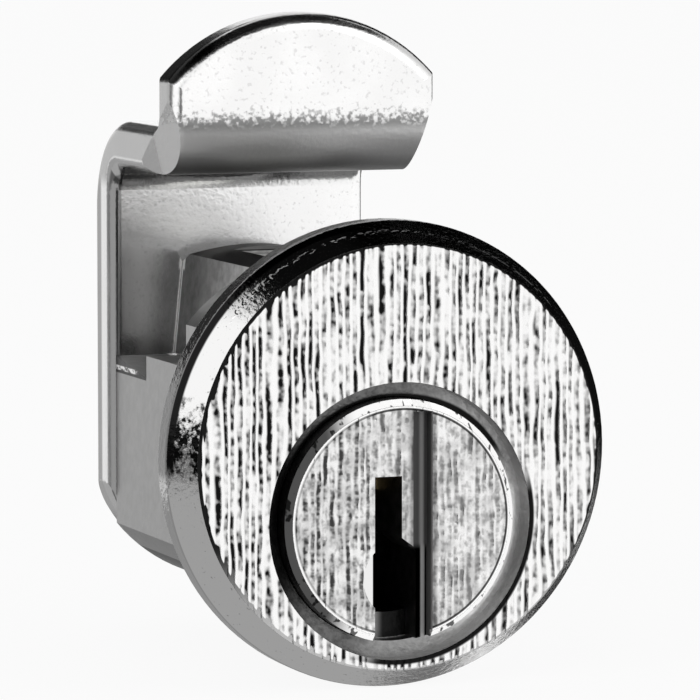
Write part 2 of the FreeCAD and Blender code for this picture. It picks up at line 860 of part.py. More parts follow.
def pinch_the_bend(body, hook_front):
    """A slanted cut on each side, where the outside of the hook's bend is narrower."""
    top = size("pinch_top")
    bottom = top - size("pinch_height")
    near = hook_front - size("pinch_margin")
    far = hook_front + size("pinch_length")
    for side, mirror in (("left", -1), ("right", 1)):
        growth = size(f"pinch_{side}_growth")
        outer = size(f"cam_{side}_width") + growth
        upper = size(f"cam_{side}_width") - size("pinch_start")
        sketches = []
        for name, level, inner in (("upper", top, upper), ("lower", bottom, upper - growth)):
            sketch = plan_view(body, f"pinch_{side}_{name}", level)
            outline(sketch, [
                (inner * mirror, near),
                (outer * mirror, near),
                (outer * mirror, far),
                ((inner + size("pinch_fade")) * mirror, far),
            ])
            sketches.append(sketch)
        cut = body.newObject("PartDesign::SubtractiveLoft", f"pinch_{side}")
        cut.Profile = sketches[0]
        cut.Sections = sketches[1:]
        cut.Ruled = True
    return cut


def round_the_tip(body, side, depth, outward):
    """The hook's top edge, worn round by a tool that follows its arc; outward is along Y."""
    radius = size(f"tip_{side}_round")
    margin = size("tip_margin")
    axis_height = size("hook_top") - size("tip_radius")
    top = size("hook_top")
    inside = depth - radius * outward
    outside = depth + margin * outward
    centre = (inside, top - radius)
    crown = (inside, top)
    brow = (depth, top - radius)
    sketch = side_view(body, f"tip_{side}_sketch")
    start, end = (brow, crown)[::outward]
    rounding = arc(sketch, centre, radius, start, end)
    around = [(inside, top + margin), (outside, top + margin), (outside, top - radius)][::outward]
    corners = [end] + around + [start]
    lines = [
        sketch.addGeometry(Part.LineSegment(flat_point(first), flat_point(second)))
        for first, second in zip(corners, corners[1:])
    ]
    loop = [rounding] + lines
    for first, following in zip(loop, loop[1:] + loop[:1]):
        join(sketch, first, following)
    for line, corner in zip(lines[1:], around):
        fix_point(sketch, line, 1, corner)
    for line, direction in zip((lines[0], lines[-1]), ("Vertical", "Horizontal")[::outward]):
        sketch.addConstraint(Sketcher.Constraint(direction, line))
    axle = Part.LineSegment(flat_point((outside, axis_height)), flat_point((inside, axis_height)))
    axle_line = sketch.addGeometry(axle, True)
    fix_point(sketch, axle_line, 1, (outside, axis_height))
    fix_point(sketch, axle_line, 2, (inside, axis_height))
    groove = body.newObject("PartDesign::Groove", f"tip_{side}_rounding")
    groove.Profile = sketch
    groove.ReferenceAxis = (sketch, ["Axis0"])
    groove.Angle = FULL_TURN
    return groove


def make_lock_washer(document):
    """Split spring washer under the screw's head."""
    body = new_body(document, "lock_washer", size("plug_drop"))
    ring = cross_section(body, "lock_ring_sketch", plate_back)
    circle(ring, AXIS, size("lock_washer_outer"))
    circle(ring, AXIS, size("lock_washer_inner"))
    pad(body, ring, size("lock_washer_thickness"), "lock_ring")
    split = cross_section(body, "lock_split_sketch", plate_back)
    half_split = size("lock_washer_half_split")
    rectangle(split, -half_split, half_split, ZERO, size("lock_washer_outer") + half_split)
    pocket(body, split, size("lock_washer_thickness"), "lock_split")
    return body


def make_cam_screw(document):
    """Pan-head screw in the plug's tail."""
    body = new_body(document, "cam_screw", size("plug_drop"))
    under_head = plate_back + size("lock_washer_thickness")
    head_back = under_head + size("screw_head_height")
    profile = side_view(body, "screw_profile")
    screw_end = under_head - size("screw_length")
    point = size("screw_radius") - size("slot_half_width")
    outline(profile, [
        (screw_end, ZERO),
        (screw_end, point),
        (screw_end + size("slot_half_width"), size("screw_radius")),
        (under_head, size("screw_radius")),
        (under_head, size("screw_head_radius")),
        (head_back, size("screw_head_radius")),
        (head_back, ZERO),
    ])
    turning = turned(body, profile, "H_Axis", "screw_turning")

    def crown_edge(edge):
        return is_close(edge.BoundBox.YMin, head_back.value) and edge.Length > SAME_PLACE

    rounded(document, body, turning, crown_edge, size("screw_head_round"), "screw_crown")
    slot = cross_section(body, "slot_sketch", head_back - size("slot_depth"))
    half_slot = size("slot_half_width")
    reach = size("screw_head_radius") + half_slot
    rectangle(slot, -reach, reach, -half_slot, half_slot)
    pocket(body, slot, size("slot_depth"), "slot")
    return body


def check_document(document):
    """Stop if any feature failed."""
    for feature in document.Objects:
        failed = [state for state in feature.State if state in ("Invalid", "Error")]
        if failed:
            raise RuntimeError(f"{feature.Label} is {failed}")


def export_pieces(pieces):
    """One STEP file for each piece, named by its label."""
    os.makedirs("parts", exist_ok=True)
    for piece in pieces:
        shape = piece.Shape
        if shape.isNull() or not shape.isValid():
            raise RuntimeError(f"{piece.Label} has no valid shape")
        if len(shape.Solids) != 1:
            raise RuntimeError(f"{piece.Label} has {len(shape.Solids)} solids")
        shape.exportStep(os.path.join("parts", f"{piece.Label}.step"))
        box = shape.BoundBox
        print(f"{piece.Label}: volume {shape.Volume:.2f}, x {box.XMin:.2f} to {box.XMax:.2f},"
              f" y {box.YMin:.2f} to {box.YMax:.2f}, z {box.ZMin:.2f} to {box.ZMax:.2f}")


def main():
    document = FreeCAD.newDocument("mailbox_lock")
    make_sheet(document)
    pieces = [make_shell(document), make_plug(document)]
    pieces += make_key_pins(document)
    pieces += make_driver_pins(document)
    pieces += make_springs(document)
    pieces.append(make_chamber_cover(document))
    pieces.append(make_stop_washer(document))
    pieces.append(make_hook_cam(document))
    pieces.append(make_lock_washer(document))
    pieces.append(make_cam_screw(document))
    document.recompute()
    check_document(document)
    export_pieces(pieces)


main()
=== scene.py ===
# %% [markdown]
# # A nickel-plated mailbox lock
#
# The lock's solids come from a CAD program. They arrive with the right shapes and sizes and no
# finish at all. This lesson gives them metal finishes, a small studio and a camera.
# Blender works in metres here, and the lock is only 35 mm tall, so textures are laid out in
# millimetres to keep the numbers easy to read.

# %% Load the lock
import math
from functools import cached_property

import bpy
from mathutils import Matrix, Vector


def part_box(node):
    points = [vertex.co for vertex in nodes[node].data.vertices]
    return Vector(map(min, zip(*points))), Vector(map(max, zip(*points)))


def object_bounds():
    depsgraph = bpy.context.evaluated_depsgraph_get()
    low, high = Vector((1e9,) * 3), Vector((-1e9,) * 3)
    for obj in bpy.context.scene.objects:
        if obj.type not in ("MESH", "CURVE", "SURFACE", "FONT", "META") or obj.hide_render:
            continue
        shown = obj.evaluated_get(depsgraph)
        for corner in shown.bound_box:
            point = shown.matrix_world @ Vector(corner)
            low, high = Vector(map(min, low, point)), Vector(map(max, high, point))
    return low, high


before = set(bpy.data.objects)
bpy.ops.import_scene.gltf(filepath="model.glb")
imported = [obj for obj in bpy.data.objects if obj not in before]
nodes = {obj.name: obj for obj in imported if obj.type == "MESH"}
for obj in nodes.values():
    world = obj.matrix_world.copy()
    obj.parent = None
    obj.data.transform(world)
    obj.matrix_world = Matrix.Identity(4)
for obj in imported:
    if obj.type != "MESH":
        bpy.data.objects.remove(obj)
MM = 0.001


def box_corners():
    """The whole object's lowest and highest corners, in metres, as plain lists."""
    return [list(corner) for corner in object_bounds()]


cad_box = box_corners()
print("solids", len(nodes), "box in metres", cad_box)

# %% [markdown]
# ## The camera
#
# A camera can be placed by eye, or worked out from the picture. Here the flange's edge, the plug's
# rim and the hook's corners were measured, and the place was solved from them. A long lens from a
# good distance gives the flat look of a catalogue picture. The turn is the angle round the lock,
# and the tilt is how far the camera looks down.

# %% Place the camera
CAMERA_TURN = math.radians(21.08)
CAMERA_TILT = math.radians(5.65)
CAMERA_PLACE = Vector((-94.63, -241.22, 30.95)) * MM
PICTURE_WIDTH = 700
FOCAL_PIXELS = 5000

forward = Vector((
    math.sin(CAMERA_TURN) * math.cos(CAMERA_TILT),
    math.cos(CAMERA_TURN) * math.cos(CAMERA_TILT),
    -math.sin(CAMERA_TILT),
))
right = Vector((math.cos(CAMERA_TURN), -math.sin(CAMERA_TURN), 0))
up = right.cross(forward)

camera_data = bpy.data.cameras.new("catalogue_camera")
camera_data.sensor_width = 36
camera_data.lens = FOCAL_PIXELS * camera_data.sensor_width / PICTURE_WIDTH
camera_data.clip_start = 0.01
camera_data.clip_end = 20
camera = bpy.data.objects.new("catalogue_camera", camera_data)
turn = Matrix((right, up, -forward)).transposed().to_4x4()
camera.matrix_world = Matrix.Translation(CAMERA_PLACE) @ turn
bpy.context.scene.collection.objects.link(camera)
bpy.context.scene.camera = camera
print("lens", round(camera_data.lens, 1), "mm")

# %% [markdown]
# ## A small language for finishes
#
# A finish is a graph of small nodes. Wiring them by hand takes many lines, so a helper class adds a
# node, fills in its values and returns the output that is wanted. A value may be a plain number or
# the output of another node.
#
# Most of the work is done by masks. A mask is a number that is 1 in one area of the solid and 0
# elsewhere. The methods "above" and "below" make one from a place, "product" keeps only the area
# that several masks share, and "blend" lays one number over another where a mask says so.

# %% A helper for building finishes
class Finish:
    """A metal finish that is being wired up."""

    def __init__(self, name):
        self.material = bpy.data.materials.new(name)
        self.material.use_nodes = True
        self.tree = self.material.node_tree
        self.shader = self.tree.nodes["Principled BSDF"]

    def node(self, kind, settings, values, wanted=0):
        """Add a node, set it up and give back one of its outputs."""
        made = self.tree.nodes.new(kind)
        for key, value in settings.items():
            setattr(made, key, value)
        for key, value in values.items():
            self.feed(made.inputs[key], value)
        return made.outputs[wanted]

    def feed(self, socket, value):
        """A socket takes either another node's output or a plain value."""
        if isinstance(value, bpy.types.NodeSocket):
            self.tree.links.new(value, socket)
        else:
            socket.default_value = value

    def math(self, operation, first, second=0.0):
        return self.node("ShaderNodeMath", {"operation": operation}, {0: first, 1: second})

    def less(self, first, second):
        return self.math("SUBTRACT", first, second)

    def total(self, first, *others):
        """Add numbers together."""
        for other in others:
            first = self.math("ADD", first, other)
        return first

    def product(self, first, *others):
        """Multiply masks or brightnesses together."""
        for other in others:
            first = self.math("MULTIPLY", first, other)
        return first

    def gap(self, value, line):
        """How far a number is from a line, on either side of it."""
        return self.math("ABSOLUTE", self.less(value, line))

    def ramp(self, value, low, high, out_low, out_high):
        """Go smoothly from one level to another as the value goes from low to high."""
        return self.node(
            "ShaderNodeMapRange", {"interpolation_type": "SMOOTHSTEP"},
            {"Value": value, "From Min": low, "From Max": high, "To Min": out_low, "To Max": out_high},
        )

    def above(self, value, low, high):
        """A mask that is 0 under low and 1 over high."""
        return self.ramp(value, low, high, 0.0, 1.0)

    def below(self, value, low, high):
        """A mask that is 1 under low and 0 over high."""
        return self.ramp(value, low, high, 1.0, 0.0)

    def blend(self, mask, first, second):
        """The first number where the mask is 0, and the second where it is 1."""
        return self.node(
            "ShaderNodeMix", {"data_type": "FLOAT"}, {"Factor": mask, "A": first, "B": second},
        )

    def grey(self, level, warmth):
        """Turn a brightness into a metal's grey, a little warm or cool."""
        return self.node(
            "ShaderNodeCombineColor", {},
            {"Red": level, "Green": self.product(level, 1 - warmth),
             "Blue": self.product(level, 1 - 2 * warmth)},
        )

    def noise(self, place, stretch, detail=2.0, roughness=0.5, shift=0.0):
        """Cloudy noise; a larger stretch number makes the spots narrower that way."""
        moved = self.node(
            "ShaderNodeMapping", {}, {"Vector": place, "Scale": stretch, "Location": (shift,) * 3},
        )
        return self.node(
            "ShaderNodeTexNoise", {},
            {"Vector": moved, "Scale": 1.0, "Detail": detail, "Roughness": roughness},
        )

    def wire(self, color, roughness, height, bump):
        """Wire colour, roughness and relief into the metal; bump is the relief's depth in mm."""
        self.shader.inputs["Metallic"].default_value = 1.0
        self.feed(self.shader.inputs["Base Color"], color)
        self.feed(self.shader.inputs["Roughness"], roughness)
        relief = self.node(
            "ShaderNodeBump", {}, {"Height": height, "Distance": bump * MM, "Strength": 1.0},
        )
        self.feed(self.shader.inputs["Normal"], relief)
        return self.material


# %% [markdown]
# ## Where the lock's own shapes are
#
# Some finishes change at an edge of the solid: the flange's face is brushed and its bevel is
# polished. The sizes of the solids are read back from their boxes, so that the finish lands where
# the edge is. A spot then says where a point of a solid lies and which way its surface faces. Its
# cached properties add their nodes when they are first asked for, so a finish has none to spare.

# %% Read the landmarks
shell_low, shell_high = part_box("shell")
plug_low, plug_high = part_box("plug")
FACE_DEPTH = shell_low.y / MM
RIM_RADIUS = shell_high.z / MM
PLUG_FACE_DEPTH = plug_low.y / MM
PLUG_HEAD_RADIUS = plug_high.x / MM
PLUG_HEIGHT = -3.31
FACE_RADIUS = RIM_RADIUS - 1.1
RING_RADIUS = 7.24


class Spot:
    """Where a point of a solid lies, in millimetres, and which way its surface faces."""

    def __init__(self, name):
        self.finish = Finish(name)
        metres = self.finish.node("ShaderNodeTexCoord", {}, {}, "Object")
        self.place = self.finish.node(
            "ShaderNodeVectorMath", {"operation": "SCALE"}, {"Vector": metres, "Scale": 1 / MM},
        )
        self.across, self.depth, self.height = self.split(self.place)

    def split(self, vector):
        """The three parts of a vector."""
        parts = self.finish.tree.nodes.new("ShaderNodeSeparateXYZ")
        self.finish.feed(parts.inputs[0], vector)
        return tuple(parts.outputs)

    @cached_property
    def facing(self):
        """How much the surface faces each way, from -1 to 1."""
        normal = self.finish.node("ShaderNodeTexCoord", {}, {}, "Normal")
        return dict(zip(("right", "back", "up"), self.split(normal)))

    @cached_property
    def from_centre(self):
        return self.distance(0.0)

    @cached_property
    def from_plug(self):
        return self.distance(PLUG_HEIGHT)

    def distance(self, axis_height):
        """How far the point is from an axis that runs into the door at a height."""
        rise = self.finish.less(self.height, axis_height)
        squares = self.finish.total(
            self.finish.product(self.across, self.across), self.finish.product(rise, rise),
        )
        return self.finish.math("SQRT", squares)


print("face at", round(FACE_DEPTH, 3), "mm, rim radius", round(RIM_RADIUS, 3), "mm")

# %% [markdown]
# ## Brushed grain
#
# The face was drawn past a coarse abrasive belt, which leaves upright white ridges with thin dark
# scratches between them. One long noise could give streaks, but they come out soft and of all
# widths. Here the distance to the nearest of many evenly spaced lines is worked out first. A slow
# noise then pushes the lines apart and together. Two more noises say how deep each scratch is from
# place to place, so that some are black, some are faint, and all are ragged.

# %% Make the grain
def scratches(spot, spacing, half_width, beads, shift):
    """1 in the scratches that run up the face, and 0 on the ridges; beads is ragged spots in 1 mm."""
    finish, place = spot.finish, spot.place
    wander = finish.noise(place, (0.45, 0.01, 0.04), detail=1.0, shift=shift + 3)
    sway = finish.noise(place, (0.5 / spacing, 0.01, 0.5 * beads), detail=1.0, shift=shift + 29)
    moved = finish.total(
        spot.across, finish.product(wander, 2.4 * spacing), finish.product(sway, 0.7 * spacing),
    )
    apart = finish.math("PINGPONG", moved, spacing / 2)
    profile = finish.below(apart, 0.4 * half_width, 1.5 * half_width)
    gaps = finish.noise(place, (0.9 / spacing, 0.01, 0.3 * beads), detail=1.0, shift=shift + 11)
    ragged = finish.noise(place, (0.9 / spacing, 0.01, 2.0 * beads), detail=1.0, shift=shift + 17)
    strength = finish.total(finish.product(gaps, 0.58), finish.product(ragged, 0.42))
    return finish.product(profile, finish.ramp(strength, 0.38, 0.63, 0.04, 1.0))


# %% [markdown]
# ## The shell: face, bevel and ring
#
# One finish serves the whole casting, and each of its areas is worked out by a short function. The
# brightness they return is how much of the white room the metal gives back.
#
# The face is brushed and has a ragged dark line round it, and a painted shadow line by the ring's
# lower right. The bevel is polished, with painted dark reflections towards the top and the upper
# right and painted shade at its left. The ring round the plug is dull and painted lighter to the
# right, with painted shade at its left and in the corner against the plug's head, and a painted
# highlight at its lower right.

# %% The flange's areas
LEFT_SHADE_LOW = -0.7
LEFT_SHADE_HIGH = 2.0
BRINK_RADIUS = 11.88


def face_level(spot, grain, low_right):
    """The brushed face, its dark edge, and a painted shadow line by the ring's lower right."""
    finish = spot.finish
    darkness = finish.product(grain, finish.ramp(spot.across, -9.0, 9.0, 1.3, 1.0))
    level = finish.blend(darkness, 0.96, 0.008)

    lobes = finish.product(
        finish.blend(grain, 0.16, 0.46), finish.ramp(spot.across, -8.0, 0.0, 1.0, 0.3),
    )
    line_start = finish.less(FACE_RADIUS, lobes)
    on_line = finish.above(spot.from_centre, finish.less(line_start, 0.05), line_start)
    level = finish.blend(on_line, level, finish.ramp(spot.height, -9.0, -4.0, 0.5, 0.012))

    # Painted shadow: a black line on the face beside the ring's lower right.
    near_ring = finish.below(spot.from_plug, RING_RADIUS + 0.2, RING_RADIUS + 0.32)
    return finish.blend(finish.product(low_right, near_ring), level, 0.01)


def bevel_left_shade(spot, cast, mottle):
    """Painted shade at the bevel's left, black and ragged above and below."""
    finish = spot.finish
    blurred = finish.total(spot.height, finish.ramp(cast, 0.3, 0.7, -1.0, 1.0))
    return finish.product(
        finish.above(blurred, LEFT_SHADE_LOW, LEFT_SHADE_LOW + 1.0),
        finish.below(blurred, LEFT_SHADE_HIGH, LEFT_SHADE_HIGH + 1.0),
        finish.below(spot.across, -9.0, -8.5),
        finish.ramp(mottle, 0.50, 0.62, 1.0, 0.3),
    )


def bevel_level(spot, cast, mottle):
    """The polished bevel, the black line near its outer edge, and the narrow band outside it."""
    finish = spot.finish
    level = finish.ramp(mottle, 0.26, 0.36, 0.5, 0.92)
    # Painted dark reflection: the bevel is darker towards the top and much darker at the upper right.
    high_right = finish.above(finish.total(spot.across, spot.height), 7.5, 10.0)
    level = finish.product(
        level, finish.ramp(spot.height, 7.0, 9.5, 1.0, 0.3), finish.blend(high_right, 1.0, 0.1),
    )
    # Painted shade at the bevel's left.
    level = finish.blend(bevel_left_shade(spot, cast, mottle), level, 0.01)
    at_brink = finish.product(
        finish.above(spot.from_centre, BRINK_RADIUS, BRINK_RADIUS + 0.07),
        finish.above(spot.height, -1.0, 0.0),
    )
    level = finish.blend(at_brink, level, 0.015)
    # Painted shade: the narrow band outside the bevel is darker towards the top.
    on_band = finish.above(spot.from_centre, RIM_RADIUS - 0.06, RIM_RADIUS - 0.03)
    return finish.blend(on_band, level, finish.ramp(spot.height, -1.2, -0.4, 0.6, 0.2))


def ring_level(spot, mottle, low_right):
    """The dull ring sunk round the plug, with painted shade and a painted highlight at lower right."""
    finish = spot.finish
    # Painted light: the ring is lighter to the right and at its lower right.
    level = finish.total(
        finish.ramp(mottle, 0.3, 0.7, 0.10, 0.18),
        finish.ramp(spot.across, 0.0, 6.0, 0.0, 0.3),
        finish.product(low_right, 0.16),
    )
    # Painted shade: black at the ring's left.
    level = finish.product(level, finish.ramp(spot.across, -6.2, -4.2, 0.06, 1.0))
    past_head = finish.less(spot.from_plug, PLUG_HEAD_RADIUS)
    # Painted highlight at the ring's lower right, beside the plug's head.
    lower_right_highlight = finish.product(
        finish.below(past_head, 0.52, 0.66),
        finish.above(spot.across, 2.5, 5.0),
        finish.below(spot.height, -2.5, -1.5),
    )
    level = finish.blend(lower_right_highlight, level, 0.95)
    # Painted shade: a black line in the corner against the plug's head.
    past_corner_line = finish.less(past_head, finish.ramp(spot.across, 0.0, 6.0, 0.19, 0.55))
    corner_shade = finish.product(
        finish.below(past_corner_line, -0.07, 0.07), finish.above(spot.height, -1.2, 0.4),
    )
    return finish.blend(corner_shade, level, 0.01)


# %% [markdown]
# ## The shell: barrel and pin housing
#
# Behind the flange the casting is plain plated metal. The pin housing stands up between two
# ledges that are painted near black as shade. Its walls are painted dark as shade, and a painted
# highlight runs down their rear edge and widens at both ends. On the flat below each ledge the
# painted shadow runs on as far as a row of painted highlight spots, with a black line of painted
# shade under them. The housing's top and a line along its upper edge are painted dark as well.

# %% The barrel's areas
BARREL_END = shell_high.y / MM
BARREL_RADIUS = 9.525
FLAT_PLACE = 7.35
WALL_PLACE = 4.2
HOUSING_FRONT = 9.6
HOUSING_FOOT = 2.4
HOUSING_EDGE = 9.3
TOP_START = 8.2
LEDGE_TOP = 4.0
LEDGE_LENGTH = 5.25


def on_housing_top(spot):
    """1 on the pin housing's upward faces."""
    finish = spot.finish
    return finish.product(
        finish.above(spot.facing["up"], 0.5, 0.8),
        finish.above(spot.height, TOP_START, TOP_START + 0.1),
        finish.above(spot.depth, HOUSING_FRONT, HOUSING_FRONT + 0.1),
    )


def wall_highlights(spot, on_wall):
    """The painted highlight down the wall's rear edge, and wider painted glints at its two ends."""
    finish = spot.finish
    rear_edge = finish.product(
        finish.above(spot.depth, BARREL_END - 0.22, BARREL_END - 0.16), on_wall,
    )
    at_ends = finish.total(
        finish.above(spot.height, HOUSING_EDGE - 1.4, HOUSING_EDGE - 1.2),
        finish.below(spot.height, HOUSING_FOOT + 0.8, HOUSING_FOOT + 1.0),
    )
    glint = finish.product(
        at_ends, finish.above(spot.depth, BARREL_END - 0.5, BARREL_END - 0.4), on_wall,
    )
    return rear_edge, glint


def ledge_shadow(spot, on_flat):
    """Where the painted shadow on the flat below a ledge is, and how bright it is."""
    finish = spot.finish
    ledge_start = BARREL_END - LEDGE_LENGTH
    over_foot = finish.less(spot.height, HOUSING_FOOT)
    inside = finish.product(
        on_flat,
        finish.above(spot.depth, ledge_start, ledge_start + 0.1),
        finish.above(over_foot, -0.02, 0.02),
    )
    # Painted highlights: a row of bright spots, with a black line of painted shade under them.
    highlight_noise = finish.noise(spot.place, (1.0, 2.6, 5.0), detail=1.0, shift=83)
    spots = finish.product(
        finish.ramp(highlight_noise, 0.36, 0.58, 0.08, 0.97),
        finish.above(spot.depth, BARREL_END - 4.0, BARREL_END - 3.0),
    )
    level = finish.blend(finish.above(over_foot, 0.14, 0.18), 0.002, spots)
    return inside, finish.blend(finish.above(over_foot, 0.38, 0.44), level, 0.045)


def barrel_level(spot, cast, on_top):
    """The barrel, its flats, the pin housing with its painted shade, and the flange's back."""
    finish = spot.finish
    from_middle = finish.math("ABSOLUTE", spot.across)
    on_flat = finish.above(from_middle, FLAT_PLACE - 0.1, FLAT_PLACE - 0.05)
    on_housing = finish.product(
        finish.above(spot.height, HOUSING_FOOT, HOUSING_FOOT + 0.1),
        finish.above(spot.depth, HOUSING_FRONT, HOUSING_FRONT + 0.1),
        finish.less(1.0, on_flat),
    )
    # Painted shade: the housing's walls are dark, lighter towards the front.
    wall_shade = finish.product(
        finish.ramp(cast, 0.25, 0.75, 0.12, 0.2), finish.ramp(spot.depth, 15.0, 19.5, 3.4, 1.0),
    )
    level = finish.blend(on_housing, finish.ramp(cast, 0.25, 0.75, 0.34, 0.39), wall_shade)
    # Painted shade: the ledges are painted near black.
    on_ledge = finish.product(
        finish.above(from_middle, WALL_PLACE, WALL_PLACE + 0.2),
        finish.below(spot.height, LEDGE_TOP, LEDGE_TOP + 0.2),
    )
    level = finish.blend(finish.product(on_housing, on_ledge), level, 0.05)
    in_shadow, shadow_level = ledge_shadow(spot, on_flat)
    level = finish.blend(in_shadow, level, shadow_level)

    on_wall = finish.below(from_middle, WALL_PLACE, WALL_PLACE + 0.2)
    # Painted highlights: the wall's rear edge and its two ends are near white.
    rear_edge, glint = wall_highlights(spot, on_wall)
    level = finish.blend(finish.product(on_housing, rear_edge), level, 0.95)
    level = finish.blend(finish.product(on_housing, glint), level, 0.98)
    # Painted shade: a black line along the housing's upper edge, and the top above it painted dark.
    from_edge = finish.gap(spot.height, HOUSING_EDGE)
    level = finish.product(level, finish.ramp(from_edge, 0.03, 0.07, 0.05, 1.0))
    over_edge = finish.above(spot.height, HOUSING_EDGE, HOUSING_EDGE + 0.04)
    level = finish.blend(over_edge, level, 0.16)
    level = finish.blend(on_top, level, 0.14)
    on_back = finish.above(spot.from_centre, BARREL_RADIUS + 0.05, BARREL_RADIUS + 0.1)
    return finish.blend(on_back, level, 0.9)


# %% [markdown]
# ## The shell: relief, and all of it together
#
# Relief is a height that the light sees and the solid doesn't have. The casting gets soft bumps,
# the bevel gets finer ones and a broken row of nicks, and the scratches of the face are cut in. On
# the housing's top the relief rises steadily to the rear. That tilts it for the light, so that it
# mirrors another part of the room and stays dark.

# %% Finish the shell
TOP_ROLL = 8.0
NICK_RADIUS = FACE_RADIUS + 0.55


def shell_relief(spot, cast, mottle, on_rim, on_top):
    """All of the casting's relief but the scratches."""
    finish = spot.finish
    bumps = finish.blend(on_rim, finish.product(cast, 0.4), finish.product(mottle, 0.75))
    breaks = finish.noise(spot.place, (3.0, 3.0, 3.0), detail=1.0, shift=71)
    nicks = finish.product(
        finish.below(finish.gap(spot.from_centre, NICK_RADIUS), 0.02, 0.12),
        finish.above(spot.height, 6.5, 8.5),
        finish.ramp(breaks, 0.42, 0.60, 0.0, 0.5),
    )
    rise = finish.product(spot.depth, TOP_ROLL)
    return finish.total(bumps, nicks, finish.product(on_top, rise))


def shell_finish():
    spot = Spot("bright_nickel_on_zinc")
    finish = spot.finish
    grain = scratches(spot, 0.43, 0.115, 1.0, 0.0)
    cast = finish.noise(spot.place, (1.6, 1.6, 1.6), detail=4.0, roughness=0.6, shift=5)
    mottle = finish.noise(spot.place, (3.0, 3.0, 3.0), detail=3.0, roughness=0.6, shift=2)

    on_rim = finish.below(spot.depth, -0.02, 0.0)
    in_ring = finish.below(spot.from_plug, RING_RADIUS + 0.02, RING_RADIUS + 0.06)
    in_bore = finish.below(spot.from_plug, PLUG_HEAD_RADIUS, PLUG_HEAD_RADIUS + 0.03)
    on_face = finish.below(spot.depth, FACE_DEPTH + 0.005, FACE_DEPTH + 0.015)
    on_top = on_housing_top(spot)
    low_right = finish.above(finish.less(spot.across, spot.height), 7.0, 9.5)
    level = finish.blend(on_rim, barrel_level(spot, cast, on_top), bevel_level(spot, cast, mottle))
    level = finish.blend(in_ring, level, ring_level(spot, mottle, low_right))
    level = finish.blend(in_bore, level, finish.ramp(spot.across, -0.7, -0.1, 0.22, 0.015))
    level = finish.blend(on_face, level, face_level(spot, grain, low_right))

    rough = finish.blend(on_rim, 0.30, 0.10)
    rough = finish.blend(in_ring, rough, 0.32)
    rough = finish.blend(on_face, rough, 0.26)
    relief = shell_relief(spot, cast, mottle, on_rim, on_top)
    relief = finish.blend(on_face, relief, finish.less(1.0, grain))
    return finish.wire(finish.grey(level, 0.004), rough, relief, 0.045)


# %% [markdown]
# ## The plug's finish
#
# The plug is turned brass under the same plating. Its face has a finer, fainter grain, darker
# beside the groove, and a thin dark line near the edge. Its rim is a polished bevel with painted
# shade at its left, and a steep slope in the relief makes it look rolled over. Inside, the metal is
# painted dark as shade. The groove beside the keyway is painted with shade too, with one thin
# painted highlight along its floor, and keys have rubbed the keyway's left edge bright.

# %% Finish the plug
HEAD_BEVEL = 0.34
BEVEL_START = PLUG_HEAD_RADIUS - HEAD_BEVEL
DARK_LINE_RADIUS = BEVEL_START - 0.15
GUIDE_LEFT = 0.63
GUIDE_RIGHT = 1.71
GUIDE_DEPTH = 0.83
KEYWAY_LEFT = -1.5
WEAR_DEPTH = 0.3
EDGE_ROLL = 35.0


def guide_groove(spot, below_face):
    """Where the groove is, and the painted shade of its floor and its right wall."""
    finish = spot.finish
    inside = finish.product(
        finish.above(spot.across, GUIDE_LEFT - 0.03, GUIDE_LEFT - 0.01),
        finish.below(spot.across, GUIDE_RIGHT + 0.01, GUIDE_RIGHT + 0.03),
        finish.below(below_face, GUIDE_DEPTH + 0.02, GUIDE_DEPTH + 0.05),
    )
    # Painted highlight: one light line along the groove's dark floor.
    soft_line = finish.product(
        finish.ramp(spot.across, GUIDE_RIGHT - 0.50, GUIDE_RIGHT - 0.30, 0.09, 0.34),
        finish.ramp(spot.across, GUIDE_RIGHT - 0.24, GUIDE_RIGHT - 0.10, 1.0, 0.3),
    )
    sharp_line = finish.product(
        finish.ramp(spot.across, GUIDE_RIGHT - 0.40, GUIDE_RIGHT - 0.30, 0.0, 0.42),
        finish.below(spot.across, GUIDE_RIGHT - 0.18, GUIDE_RIGHT - 0.08),
    )
    beside_keyway = finish.below(spot.height, PLUG_HEIGHT - 1.6, PLUG_HEIGHT - 1.2)
    floor_level = finish.blend(beside_keyway, soft_line, sharp_line)
    # Painted shade: the right wall is lighter near the face and darkens with depth.
    wall_shade = finish.ramp(below_face, 0.05, 0.35, 0.8, 0.17)
    on_wall = finish.above(spot.across, GUIDE_RIGHT - 0.02, GUIDE_RIGHT - 0.01)
    return inside, finish.blend(on_wall, floor_level, wall_shade)


def head_level(spot, grain, cloud, flecks):
    """The head's face: cloudy plating under the grain, darker beside the groove, a line at the edge.
    """
    finish = spot.finish
    plating = finish.product(
        finish.ramp(cloud, 0.3, 0.65, 0.62, 0.92), finish.ramp(flecks, 0.28, 0.52, 0.45, 1.0),
    )
    darkness = finish.product(grain, finish.ramp(spot.across, -4.0, 1.0, 1.1, 0.72))
    level = finish.blend(darkness, plating, 0.05)
    from_groove = finish.gap(spot.across, (GUIDE_LEFT + GUIDE_RIGHT) / 2)
    level = finish.product(level, finish.ramp(from_groove, 0.55, 0.95, 0.4, 1.0))
    outside_line = finish.above(spot.from_plug, DARK_LINE_RADIUS, DARK_LINE_RADIUS + 0.04)
    level = finish.blend(outside_line, level, 0.97)
    line_level = finish.ramp(spot.across, -3.5, -1.0, 0.6, 0.1)
    from_line = finish.gap(spot.from_plug, DARK_LINE_RADIUS)
    return finish.product(level, finish.ramp(from_line, 0.04, 0.08, line_level, 1.0))


